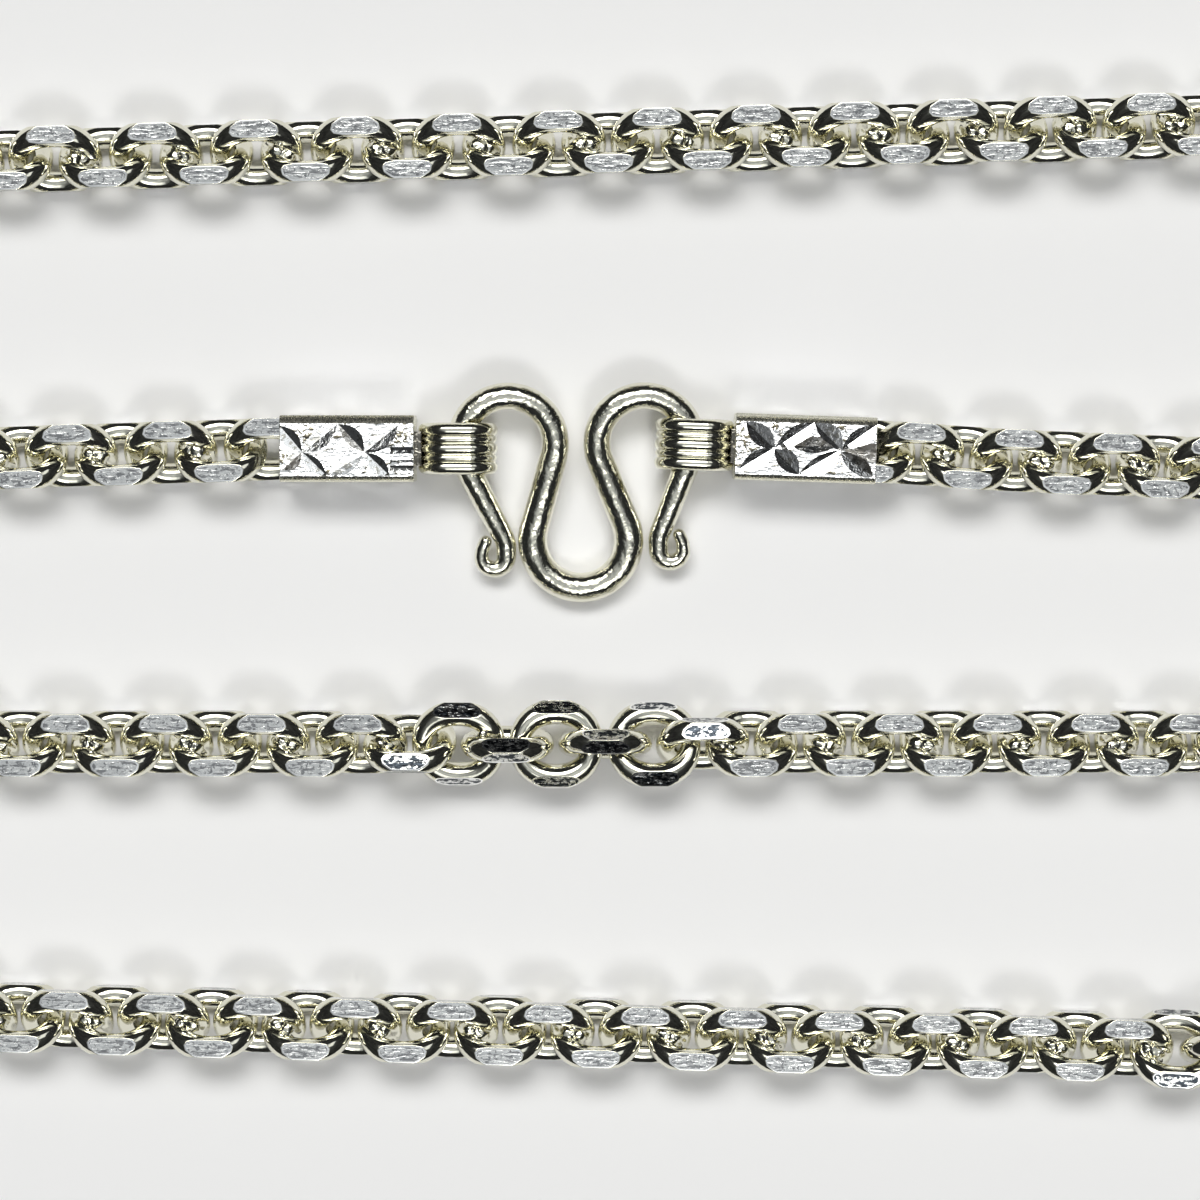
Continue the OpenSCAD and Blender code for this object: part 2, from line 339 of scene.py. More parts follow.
def solder_lump(draw, middle, size):
    """The ball swells by a bell curve round some random points of it, then is scaled and moved.

    Its normals are the sums of its faces' cross products.
    """
    swellings = unit(draw.normal(0, 1, (SWELLINGS, 3)))
    swell = np.exp(-((BALL[:, None] - swellings) ** 2).sum(2) / SWELLING_REACH).max(1)[:, None]
    points = BALL * (LEAST + SWOLLEN * swell) * size
    a, b, c = (points[BALL_FACES[:, k]] for k in range(3))
    normals = np.zeros(points.shape)
    for k in range(3):
        np.add.at(normals, BALL_FACES[:, k], np.cross(b - a, c - a))
    count = len(BALL_FACES)
    return Shape(points + middle, BALL_FACES.ravel(), np.full(count, 3), np.full(count, 2), unit(normals))


# The chain is 194 such links of sterling silver, hooked through each other and soldered, each turned a
# quarter from the last. It lies flat in its four runs, and where it twists, links that stand on edge
# rest on the surface and lift the ones beside them.

MIDDLE = np.array([10.896, 0.519, 0.0])  # middle of the layout below, which is the frame's origin
# Corners of the route with the radius of each bend, from the left cap round to the right cap
ROUTE = [
    (-16, 7.55, 0), (-52.95, 6.35, 7.2), (-52.95, 21.2, 7.2), (74.8, 24.95, 22.9),
    (74.8, -23, 22.9), (30, -22.55, 60), (-52.95, -20.35, 6.5), (-52.95, -7.2, 6.5),
    (46.65, -7.15, 6.4), (46.65, 5.9, 6.4), (20.4, 6.98, 60), (13.3, 7.47, 0),
]
# Way along the route by link number
WAY = [
    (0, 0.45), (5, 12.88), (29, 71.45), (39, 96.54), (51, 125.86), (101, 249.14),
    (111, 273.35), (123, 302.36), (147, 360.23), (171, 418.77), (189, 462.31), (195, 476.98),
]
# Roll of the chain about its own line by link number, in degrees
ROLL = [
    (0, -45), (92, -45), (93, -44.6), (94, -38.8), (95, -33.1), (96, -16.3), (97, 0.2),
    (98, 7.4), (99, 15.6), (100, 33.4), (101, 45), (153, 45), (154, 44.5), (155, 33.8),
    (156, 14.9), (157, 7.2), (158, 0), (159, -9.2), (160, -18.7), (161, -32.9), (162, -45),
    (195, -45),
]
# Lift of the chain's line above its resting height by link number
LIFT = [
    (0, 0), (88, 0), (89, 0.001), (90, 0.003), (91, 0.006), (92, 0.022), (93, 0.078),
    (94, 0.189), (95, 0.357), (96, 0.565), (97, 0.666), (98, 0.656), (99, 0.615),
    (100, 0.34), (101, 0.134), (102, 0.036), (103, 0.01), (104, 0.004), (105, 0.003),
    (106, 0.001), (107, 0), (148, 0), (149, 0.001), (150, 0.003), (151, 0.004),
    (152, 0.01), (153, 0.038), (154, 0.137), (155, 0.336), (156, 0.58), (157, 0.649),
    (158, 0.658), (159, 0.644), (160, 0.54), (161, 0.35), (162, 0.137), (163, 0.037),
    (164, 0.01), (165, 0.004), (166, 0.003), (167, 0.001), (168, 0), (195, 0),
]
LAST, HALF = 195, 98  # the link in the right cap, and the first link of the second half
UNTWISTED = 44  # least roll of a link that lies as the long runs do, in degrees
LINK_SILVER = [WIRE_SILVER, FACET_SILVER, SOLDER_SILVER, BORDER_SILVER, PAINTED_SHADE_FACET_SILVER]


def by_number(table, i):
    """Straight-line reading of a table of link number and value."""
    numbers, values = zip(*table)
    return float(np.interp(i, numbers, values))


def route_stretches():
    """The route as start, direction, length, radius and side: straights, and arcs that touch them.

    An arc of radius r that turns by q starts r tan(q / 2) before its corner.
    """
    stretches = []
    here = np.array(ROUTE[0][:2], float)
    for a, b, c in zip(ROUTE, ROUTE[1:], ROUTE[2:]):
        before, corner, after = (np.array(p[:2], float) for p in (a, b, c))
        u, v = unit(corner - before), unit(after - corner)
        turn = math.atan2(u[0] * v[1] - u[1] * v[0], u @ v)
        back = b[2] * math.tan(abs(turn) / 2)
        start = corner - u * back
        stretches.append((here, u, float((start - here) @ u), 0.0, 0.0))
        stretches.append((start, u, b[2] * abs(turn), b[2], math.copysign(1, turn)))
        here = corner + v * back
    stretches.append((here, unit(np.array(ROUTE[-1][:2], float) - here), math.inf, 0.0, 0.0))
    return stretches


def place_on_route(stretches, way):
    """Point and heading at a way along the route, on its straight or round its arc."""
    for start, u, long, radius, side in stretches:
        if way <= long:
            break
        way -= long
    heading = math.atan2(u[1], u[0])
    if radius == 0:
        return start + u * way, heading
    turn = way / radius
    left = np.array([-u[1], u[0]]) * side
    return start + radius * (u * math.sin(turn) + left * (1 - math.cos(turn))), heading + side * turn


def link_axes(heading, climb, roll):
    """A link's own X, Y and Z as columns: X along the chain, Y and Z rolled round it."""
    level_along = np.array([math.cos(heading), math.sin(heading), 0.0]) * math.cos(climb)
    along = level_along + (0, 0, math.sin(climb))
    level = np.array([-math.sin(heading), math.cos(heading), 0.0])
    over = np.cross(along, level)
    across = math.cos(roll) * level + math.sin(roll) * over
    return np.stack([along, across, math.cos(roll) * over - math.sin(roll) * level], 1)


def link_places():
    """Middle and axes of each link. Its climb is that of the line between its two neighbours."""
    stretches = route_stretches()
    places = []
    for i in range(LAST + 1):
        spot, heading = place_on_route(stretches, by_number(WAY, i))
        a, b = max(i - 1, 0), min(i + 1, LAST)
        rise = by_number(LIFT, b) - by_number(LIFT, a)
        climb = math.atan2(rise, by_number(WAY, b) - by_number(WAY, a))
        roll = math.radians(by_number(ROLL, i) + (i % 2) * 90)
        middle = np.array([*spot, SQUARE + by_number(LIFT, i)]) - MIDDLE
        places.append((middle, link_axes(heading, climb, roll)))
    return places


PLACES = link_places()


def joined(shapes):
    """One shape of several: the corners of each move up by the points before it."""
    starts = np.cumsum([0] + [len(s.points) for s in shapes])
    corners = np.concatenate([s.corners + start for s, start in zip(shapes, starts)])
    names = ("points", "counts", "slots")
    points, counts, slots = (np.concatenate([getattr(s, name) for s in shapes]) for name in names)
    normals = None if shapes[0].normals is None else np.concatenate([s.normals for s in shapes])
    return Shape(points, corners, counts, slots, normals)


def place_links(numbers):
    """The links of these numbers with their solder: each is the same link, turned and moved.

    Near its joint the normals stray at random by a bell curve of the distance.
    """
    shapes = []
    for i in numbers:
        at, axes = PLACES[i]
        end = math.copysign(SOLDERED, axes[0, 0] * axes[1, 1] * axes[2, 1])
        draw = np.random.RandomState(i)
        near = np.exp(-((LINK.points[:, :2] - (end, 0)) ** 2).sum(1) / RAGGED_REACH)[:, None]
        normals = unit(LINK.normals + draw.normal(0, RAGGED, LINK.normals.shape) * near)
        for along, across, size in LUMPS:
            middle = axes @ (end * along, across, 0) + at + (0, 0, LUMP_RISE)
            shapes.append(solder_lump(draw, middle, size))
        # Links in the twists take slot 4, whose near-black facet stain is painted shade.
        twisted = abs(by_number(ROLL, i)) < UNTWISTED
        slots = np.where(LINK.slots == 1, 4, LINK.slots) if twisted else LINK.slots
        shapes.append(Shape(LINK.points @ axes.T + at, LINK.corners, LINK.counts, slots, normals @ axes.T))
    return joined(shapes)


def make_object(name, shape, silvers):
    """A smooth object from a shape, with the normals of its points where it has them."""
    mesh = bpy.data.meshes.new(name)
    mesh.vertices.add(len(shape.points))
    mesh.vertices.foreach_set("co", (shape.points * MM).astype(np.float32).ravel())
    mesh.loops.add(len(shape.corners))
    mesh.loops.foreach_set("vertex_index", shape.corners.astype(np.int32))
    mesh.polygons.add(len(shape.counts))
    mesh.polygons.foreach_set("loop_start", (np.cumsum(shape.counts) - shape.counts).astype(np.int32))
    for silver in silvers:
        mesh.materials.append(silver)
    mesh.polygons.foreach_set("material_index", shape.slots.astype(np.int32))
    mesh.update(calc_edges=True)
    mesh.validate()
    mesh.polygons.foreach_set("use_smooth", np.ones(len(mesh.polygons), bool))
    if shape.normals is not None:
        mesh.normals_split_custom_set_from_vertices(shape.normals.tolist())
    obj = bpy.data.objects.new(name, mesh)
    bpy.context.scene.collection.objects.link(obj)
    return obj


for name, node, numbers in (
    ("chain_links_first", "chain_first_half", range(1, HALF)),
    ("chain_links_second", "chain_second_half", range(HALF, LAST)),
):
    links = make_object(name, place_links(numbers), LINK_SILVER)
    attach(links, "root")
    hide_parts(node)

# The end caps are short square tubes of silver with chamfered edges, open at the chain's end. A wheel
# with a V edge cut crosses of leaves into each face by hand, no two alike, some polished and some
# frosted. The left cap has three grooves along its upper face too. Wear has left scratched spots.

CAP_SIDE, CHAMFER, HOLLOW = 3.3, 0.25, 1.22  # side and chamfer, and half the opening for the link
CAP_HALF = CAP_SIDE / 2
HOLLOW_DEPTH, EDGE_ROUNDING = 0.35, 0.035
WIDER = 0.12  # how much broader the chamfer is on the far side, which looks to +Y
LEAF_DEPTH = 0.16
BEYOND, BESIDE = 1.1, 0.04  # how far a cutter goes past its leaf, as a share of its turn and in mm
CUT_ROWS = 21
# A leaf: both ends of its fold along and across, then the width and the shading slope in degrees of its
# left and right side, then the sides that are frosted: 1 for the left, 2 for the right, 3 for both
Leaf = collections.namedtuple("Leaf", "x y x_end y_end left right left_slope right_slope frosted")
LEFT_LEAVES = [
    Leaf(0.01, 1.15, 1.12, -0.16, 0.38, 0.40, 21.5, 20.8, 0),
    Leaf(1.15, -0.18, 2.36, -1.36, 0.28, 0.38, 21.5, 20.8, 0),
    Leaf(1.18, -0.16, 2.88, 1.19, 0.42, 0.46, 12.5, 22.0, 0),
    Leaf(2.92, 1.22, 4.20, -0.16, 0.50, 0.32, 20.0, 7.5, 2),
    Leaf(4.20, -0.20, 5.90, 1.17, 0.38, 0.50, 12.8, 23.0, 0),
    Leaf(4.29, -0.21, 5.46, -1.34, 0.36, 0.42, 21.5, 20.8, 0),
    Leaf(0.11, -1.06, 1.10, -0.18, 0.30, 0.42, 13, 24, 2),
    Leaf(2.41, -1.26, 4.15, -0.28, 0.28, 0.44, 13, 7.5, 0),
]
RIGHT_LEAVES = [
    Leaf(6.50, 1.22, 5.02, -0.08, 0.54, 0.48, 16.8, 28, 0),
    Leaf(5.08, -0.06, 3.80, -1.30, 0.56, 0.40, 17.8, 28, 0),
    Leaf(6.78, -1.15, 5.04, -0.01, 0.38, 0.54, 25, 17, 0),
    Leaf(5.04, -0.05, 3.10, 1.32, 0.42, 0.60, 24.5, 17, 0),
    Leaf(3.12, 1.29, 1.68, -0.06, 0.62, 0.32, 16.2, 28, 0),
    Leaf(1.72, 0.02, 0.04, 1.28, 0.40, 0.56, 24.5, 17, 0),
    Leaf(3.80, -1.28, 1.80, -0.02, 0.30, 0.60, 25, 17, 0),
    Leaf(1.78, -0.12, 0.13, -1.30, 0.50, 0.44, 24, 25, 1),
    Leaf(4.26, 0.10, 2.06, 0.14, 0.50, 0.34, 25, 24, 1),
    Leaf(1.68, 0.02, -1.40, -0.22, 0.46, 0.46, 24, 24, 3),
]
# Grooves from GROOVE_START to the end of the left cap: place across, half width and depth
GROOVES, GROOVE_START = [(-0.09, 0.17, 0.060), (-0.62, 0.06, 0.03), (-0.96, 0.13, 0.046)], 5.45
OVER = 0.3  # how much wider and higher than its groove a cutter is, as a share
# A cap: its side, its length, the gap to its ribbed ring, its leaves, -1 where they are mirrored, how far
# round its far chamfer's shading goes in degrees, where its hook end is, its turn, and its soldered link
Cap = collections.namedtuple("Cap", "side long gap leaves hand rise end degrees link")
CAPS = [
    Cap("left", 6.66, 0.16, LEFT_LEAVES, 1, 19, (-9.22, 7.57), 0, 0),
    Cap("right", 7.0, 0.02, RIGHT_LEAVES, -1, 36, (6.7, 7.7), 178, LAST),
]
FACE_SHADE = 7.4  # lean of the flat faces' normals to the far side, in degrees
CHAMFER_SHADE, NEAR_RISE = 30, 34  # lean of a chamfer's normals at its top, and its rise on the near side
END, SURFACE, LEVEL = 0.04, 0.001, 0.02  # what is nearer to an end or a face is on it, or leans less
CHAMFER_SPARE, CHAMFER_SPAN = 0.15, 0.25  # how far in from its outline a chamfer's middle may lie
ALONG_FOLD, WRONG_SIDE, SLACK = 4, 5, 0.01  # how much further off they make a leaf's side, and mm to spare
# Worn spots of the upper faces: place along and across, and radius
WORN = [
    (-20.7, 7.7, 0.9), (-25.5, 7.7, 0.8), (-26.6, 6.5, 0.7), (-24.1, 5.9, 0.6),
    (-3.4, 7.4, 1.5), (-2.1, 8.2, 0.6), (0.9, 8.1, 0.6),
]
CAP_SILVER = [
    cut_silver(
        "silver_cap", (1800, 5200, 5200), 0.03, 0.004, (0.06, 0.10, 0.16), (0.93, 0.935, 0.93),
        (0.13, 0.12, 0.09), 0.585, [((x, y, CAP_SIDE), radius) for x, y, radius in WORN],
    ),
    cut_silver(
        "silver_leaf", (3000,) * 3, 0.018, 0.002, (0.05, 0.10, 0.16), (0.93, 0.935, 0.93),
        (0.55, 0.54, 0.50), 0.55,
    ),
    wire_silver("silver_chamfer", dents=0.0, grain=0.00036, rough=(0.22, 0.32)),
    cut_silver(
        "silver_frost", (3000,) * 3, 0.03, 0.004, (0.22, 0.30, 0.38), (0.44, 0.435, 0.42),
        (0.18, 0.172, 0.155), 0.50,
    ),
]


def loft(grid, normals=None):
    """A closed shape: rows of points round it, each joined to the next, with a face on both ends."""
    rows, columns = grid.shape[:2]
    first = np.arange(columns)
    last = (rows - 1) * columns + first
    sides = skin(rows, columns)
    counts = np.array([4] * len(sides) + [columns] * 2)
    corners = np.concatenate([sides.ravel(), first, last[::-1]])
    if normals is not None:
        normals = normals.reshape(-1, 3)
    return Shape(grid.reshape(-1, 3), corners, counts, np.zeros(len(counts), int), normals)


def prism(outline, low, high):
    """An outline across the cap, carried along it from high to low."""
    return loft(np.array([[(x, y, z) for y, z in outline] for x in (high, low)], float))


def square(half):
    """Corners of a square across the cap."""
    return [(half, half), (-half, half), (-half, -half), (half, -half)]


def turned_object(name, shape, silvers, rounding=0.0):
    """A flat-faced object from a closed shape, its edges rounded and its faces turned outwards."""
    obj = make_object(name, shape, silvers)
    bm = bmesh.new()
    bm.from_mesh(obj.data)
    if rounding:
        bmesh.ops.bevel(bm, geom=bm.edges[:], offset=rounding * MM, segments=2, profile=0.5, affect="EDGES")
    bmesh.ops.recalc_face_normals(bm, faces=bm.faces[:])
    bm.to_mesh(obj.data)
    bm.free()
    obj.data.polygons.foreach_set("use_smooth", np.zeros(len(obj.data.polygons), bool))
    return obj


def subtract(obj, shape):
    """Cuts a shape out of an object."""
    cutter = turned_object("cutter", shape, [])
    cut = obj.modifiers.new("cut", "BOOLEAN")
    cut.operation = "DIFFERENCE"
    cut.solver = "EXACT"
    cut.use_self = True
    cut.object = cutter
    bpy.context.view_layer.update()
    mesh = bpy.data.meshes.new_from_object(obj.evaluated_get(bpy.context.evaluated_depsgraph_get()))
    obj.modifiers.clear()
    obj.data = mesh
    bpy.data.objects.remove(cutter)


def leaf_axes(leaf, hand):
    """Middle, half length, direction and left-hand side of a leaf's fold."""
    a, b = np.array([leaf.x, leaf.y * hand]), np.array([leaf.x_end, leaf.y_end * hand])
    way = unit(b - a)
    return (a + b) / 2, np.linalg.norm(b - a) / 2, way, np.array([-way[1], way[0]])


def onto_face(lines, face):
    """Closes the three lines of a V upwards and turns them onto one of the cap's four faces."""
    lid = lines[:, [2, 0]].copy()
    lid[..., 2] = lines[..., 2].max() + 0.1
    x, y, z = np.moveaxis(np.concatenate([lines, lid], 1), -1, 0)
    c, s = math.cos(face * math.pi / 2), math.sin(face * math.pi / 2)
    return loft(np.stack([x, y * c - (z + CAP_HALF) * s, y * s + (z + CAP_HALF) * c], -1))


def leaf_cutter(leaf, hand, face):
    """What a wheel with a V edge sweeps through: an arc about an axis over the leaf, for each line.

    The wheel is as large as it takes to sink LEAF_DEPTH in and to leave at the leaf's two ends, and
    its radius falls off evenly to both sides of the fold.
    """
    middle, reach, way, side = leaf_axes(leaf, hand)
    wheel = (reach**2 + LEAF_DEPTH**2) / (2 * LEAF_DEPTH)
    turn = np.linspace(-BEYOND, BEYOND, CUT_ROWS)[:, None] * math.asin(min(1, reach / wheel))
    off = np.array([-leaf.right - BESIDE, 0.0, leaf.left + BESIDE])
    radius = wheel - np.abs(off) * LEAF_DEPTH / np.array([leaf.right, 1.0, leaf.left])
    flat = middle + (radius * np.sin(turn))[..., None] * way + off[:, None] * side
    deep = wheel - LEAF_DEPTH - radius * np.cos(turn)
    return onto_face(np.concatenate([flat, deep[..., None]], -1), face)


def groove_cutter(across, half, deep, end):
    """A straight V from GROOVE_START to the cap's end, on its upper face."""
    wide = half * (1 + OVER)
    vee = [(across - wide, deep * OVER), (across, -deep), (across + wide, deep * OVER)]
    return onto_face(np.array([[(x, y, z) for y, z in vee] for x in (GROOVE_START, end)]), 0)


def cap_body(cap):
    """A cap along X from its chain end: a chamfered bar with the hole, the leaves and the grooves cut out."""
    edge = CAP_HALF - CHAMFER
    far, near = (edge - WIDER, edge) if cap.hand > 0 else (edge, edge - WIDER)
    outline = [
        (CAP_HALF, edge), (far, CAP_HALF), (-near, CAP_HALF), (-CAP_HALF, edge),
        (-CAP_HALF, -edge), (-edge, -CAP_HALF), (edge, -CAP_HALF), (CAP_HALF, -edge),
    ]
    body = turned_object(cap.side + "_cap_body", prism(outline, 0, cap.long), CAP_SILVER, EDGE_ROUNDING)
    subtract(body, prism(square(HOLLOW), -1, HOLLOW_DEPTH))
    subtract(body, joined([leaf_cutter(leaf, cap.hand, face) for face in range(4) for leaf in cap.leaves]))
    if cap.side == "left":
        subtract(body, joined([groove_cutter(*groove, cap.long + 0.1) for groove in GROOVES]))
    return body


def nearest_side(folds, spot, normal):
    """Direction to the fold, slope and frost of the leaf side that a point of a cut belongs to.

    That is the side which is least far off: the distances along and across it count as shares of its
    own size, and a normal along its fold, or a point on the fold's other side, puts it further off.
    """
    best = None
    for leaf, middle, reach, way, side in folds:
        left = normal @ side < 0
        out = side if left else -side
        wide, slope, mark = (leaf.left, leaf.left_slope, 1) if left else (leaf.right, leaf.right_slope, 2)
        across = (spot - middle) @ out
        far = abs((spot - middle) @ way) / reach + abs(across) / wide + ALONG_FOLD * abs(normal @ way)
        far += WRONG_SIDE if across < -SLACK else 0
        if best is None or far < best[0]:
            best = (far, -out, math.radians(slope), leaf.frosted & mark)
    return best[1:]


def shade_cap(mesh, cap):
    """Silvers and corner normals: one tone along each side of a leaf, and rounded chamfers.

    A side of a leaf gets the normal of a plane of its own slope, and a flat face leans by FACE_SHADE.
    A chamfer's normals start at CHAMFER_SHADE and go on by the cap's rise, or NEAR_RISE on the near
    side.
    """
    edge = CAP_HALF - CHAMFER
    lean = math.radians(FACE_SHADE)
    folds = [(leaf, *leaf_axes(leaf, cap.hand)) for leaf in cap.leaves]
    corner = []
    for face in mesh.polygons:
        x, y, z = (c / MM for c in face.center)
        spots = [mesh.vertices[v].co / MM for v in face.vertices]
        own = [tuple(face.normal)] * len(spots)
        if not END < x < cap.long - END:
            face.material_index = 2
        elif max(abs(y), abs(z)) > CAP_HALF - SURFACE:
            face.material_index = 0
            if z > CAP_HALF - SURFACE:
                own = [(0, math.sin(lean) * cap.hand, math.cos(lean))] * len(spots)
        elif abs(y) + abs(z) > CAP_HALF + edge - CHAMFER_SPARE and min(abs(y), abs(z)) > edge - CHAMFER_SPAN:
            face.material_index = 2
            rise = cap.rise if y * cap.hand > 0 else NEAR_RISE
            down = [min(1, max(0, (CAP_HALF - abs(p.z)) / CHAMFER)) for p in spots]
            tilts = [math.radians(CHAMFER_SHADE + rise * share) for share in down]
            own = [(0, math.copysign(math.sin(t), y), math.copysign(math.cos(t), z)) for t in tilts]
        else:
            face.material_index = 1
            quarter = 0 if z > abs(y) else 2 if z < -abs(y) else 3 if y > 0 else 1
            c, s = round(math.cos(quarter * math.pi / 2)), round(math.sin(quarter * math.pi / 2))
            normal = np.array([face.normal[0], face.normal[1] * c + face.normal[2] * s])
            fold, slope, frost = nearest_side(folds, np.array([x, y * c + z * s]), normal)
            if np.abs(normal).sum() > LEVEL:
                face.material_index = 3 if frost else 1
                (nx, ny), nz = fold * math.sin(slope), math.cos(slope)
                own = [(nx, ny * c - nz * s, ny * s + nz * c)] * len(spots)
        corner += own
    mesh.polygons.foreach_set("use_smooth", np.ones(len(mesh.polygons), bool))
    mesh.normals_split_custom_set(corner)


def set_down(obj, cap):
    """Turns a mesh's own points and normals about Z and moves them to the cap's place."""
    mesh = obj.data
    points = np.zeros(len(mesh.vertices) * 3, np.float32)
    mesh.vertices.foreach_get("co", points)
    normals = np.array([c.vector[:] for c in mesh.corner_normals])
    a = math.radians(cap.degrees)
    turn = np.array([[math.cos(a), -math.sin(a), 0], [math.sin(a), math.cos(a), 0], [0, 0, 1]])
    chain_end = np.array([*cap.end, CAP_HALF]) - MIDDLE - turn[:, 0] * cap.long
    placed = points.reshape(-1, 3).astype(float) @ turn.T + chain_end * MM
    mesh.vertices.foreach_set("co", placed.astype(np.float32).ravel())
    mesh.update()
    mesh.normals_split_custom_set((normals @ turn.T).tolist())


for cap in CAPS:
    body = cap_body(cap)
    shade_cap(body.data, cap)
    set_down(body, cap)
    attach(body, "root")
    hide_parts(cap.side + "_end_cap")

# A collar of solder joins each cap to its ribbed ring. It is small and square, set back from the cap's
# faces, and its dark colour is painted shade of the crevice between cap and ring.

NECK = 0.85  # half the side of the collar
NECK_SUNK, NECK_REACH, NECK_ROUNDING = 0.1, 0.2, 0.05  # how far it goes into the cap and into the ring
# Painted shade: the collar's silver is near black, for the shade in the crevice between cap and ring.
COLLAR_SHADE_SILVER = wire_silver("silver_collar_painted_shade", 0.12, 2000, 0.0036, (0.15, 0.3), (0.20, 0.19, 0.165, 1))

for cap in CAPS:
    neck = prism(square(NECK), cap.long - NECK_SUNK, cap.long + cap.gap + NECK_REACH)
    collar = turned_object(cap.side + "_cap_collar", neck, [COLLAR_SHADE_SILVER], NECK_ROUNDING)
    set_down(collar, cap)
    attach(collar, "root")

# Each ribbed ring is a broad silver band with three round ribs and two finer ones between them, bent
# into a long loop on edge and soldered to its cap. It is polished, and the hook goes through it.

RING_LONG, RING_HALF, RING_WALL, BAND_HALF = 3.96, 1.55, 0.5, 1.22  # half its height, half its width
# Ribs: place across, radius and lift
RIBS = [(-0.93, 0.36, 0), (0, 0.36, 0), (0.93, 0.36, 0), (-0.465, 0.2, 0.12), (0.465, 0.2, 0.12)]
RIB_SUNK = 0.36  # how far the three ribs' middles lie below the band's outside
VALLEY = 1.12  # least distance of the band's outside from the middle of its bend
RIBS_HALF, INSIDE_HALF = 1.29, 1.1  # half the width over the ribs, and between the inside's own points
RIB_POINTS, INSIDE_POINTS, BEND_ROWS = 121, 7, 37
CREASE = 60  # angle between faces that makes a sharp edge, in degrees
RING_SILVER = wire_silver("silver_ring", dents=0.01)


def ribbed_ring(start):
    """The band's section, ribbed outside and flat inside, carried round two half circles from start.

    Its height at a place across is that of the highest of the ribs' circles there.
    """
    across = np.linspace(-RIBS_HALF, RIBS_HALF, RIB_POINTS)
    place, radius, lift = np.array(RIBS).T
    bow = radius**2 - (across[:, None] - place) ** 2
    tops = RING_HALF - RIB_SUNK + lift + np.sqrt(np.maximum(bow, 0))
    outside = np.where(bow >= 0, tops, 0).max(1).clip(VALLEY)
    inside = np.array([BAND_HALF, *np.linspace(INSIDE_HALF, -INSIDE_HALF, INSIDE_POINTS), -BAND_HALF])
    width = np.concatenate([across, inside])
    out = np.concatenate([outside, 0 * inside + RING_HALF - RING_WALL])
    turn = np.radians(np.linspace([90, 270], [270, 450], BEND_ROWS, axis=1).reshape(-1, 1))
    middle = start + np.repeat([RING_HALF, RING_LONG - RING_HALF], BEND_ROWS)[:, None]
    grid = np.stack([middle + out * np.cos(turn), width + 0 * turn, out * np.sin(turn)], -1)
    faces = skin(*grid.shape[:2], True)[:, ::-1]
    return Shape(grid.reshape(-1, 3), faces.ravel(), np.full(len(faces), 4), np.zeros(len(faces), int), None)


for cap in CAPS:
    ring = make_object(cap.side + "_ribbed_ring", ribbed_ring(cap.long + cap.gap), [RING_SILVER])
    ring.data.set_sharp_from_angle(angle=math.radians(CREASE))
    set_down(ring, cap)
    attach(ring, "root")

# The first and the last link of the chain are like all others, and are soldered into the open end of
# their cap.

for cap in CAPS:
    link = make_object(cap.side + "_soldered_link", place_links([cap.link]), LINK_SILVER)
    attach(link, "root")

# The hook is one round silver wire bent by hand into an M: a curled tip, an arm, a lobe, a straight, the
# low middle bend, and the same back. It is thickest in the middle and thins out to its tips, it shows
# the marks of the pliers, and it is tilted a little, because its middle bend rests on the surface.

LEFT_LOBE, RIGHT_LOBE = (-4.6, 7.88, 2.375), (2.22, 7.9, 2.375)  # middle and radius of the wire's line
LOW_BEND = (-0.965, 3.0, 2.41)
HOOK_TILT = math.radians(7)
TILT_LINE, TILT_RISE = 0.59, 0.744  # the hook turns about this Y, and the height of its wire there
LEFT_ARM, RIGHT_ARM = (27.4, 4.0), (21.3, 3.85)  # angle and length of the arms
BEND_RADIUS, BEND_SIDE, LOBE_RADIUS, ARM_RADIUS, TIP_RADIUS = 0.74, 0.73, 0.68, 0.65, 0.33  # of the wire
KNEE, CURL, CURL_DROP = 1.5, 0.62, 0.4  # radius of the arm's soft bend and of its curl, and its drop
LEAN, TIP = 24, np.array([-0.0656, 0.1456])  # how far the curl's end leans in degrees, and its last step
CLOSEST, SMOOTHINGS = 0.02, 6  # points of the line that are closer merge, and passes over its radii
HOOK_SIDES = 32
HOOK_SILVER = wire_silver("silver_hook", dents=0.10, closeness=1100, grain=0.0144)


def on_circle(circle, degrees):
    """Point of a circle, given by its middle and radius, at an angle."""
    a = math.radians(degrees)
    return np.array([circle[0] + circle[2] * math.cos(a), circle[1] + circle[2] * math.sin(a)])


def sweep(circle, start, stop, step=0.09):
    """Points on a circle from one angle to another, about a step apart."""
    n = max(3, int(abs(math.radians(stop - start)) * circle[2] / step))
    return [on_circle(circle, d) for d in np.linspace(start, stop, n + 1)]


def straight(a, b, step=0.12):
    """Points between two others, about a step apart."""
    n = max(2, int(np.linalg.norm(b - a) / step))
    return [a + (b - a) * k / n for k in range(1, n)]


def leaving(lobe, side):
    """Angle on the middle bend of the straight that touches it on one side and a lobe on the other.

    Its cosine, from the line of both middles, is the sum of the radii over their distance.
    """
    apart = np.array(lobe[:2]) - np.array(LOW_BEND[:2])
    cross = math.degrees(math.acos((lobe[2] + LOW_BEND[2]) / np.linalg.norm(apart)))
    return math.degrees(math.atan2(apart[1], apart[0])) - side * cross


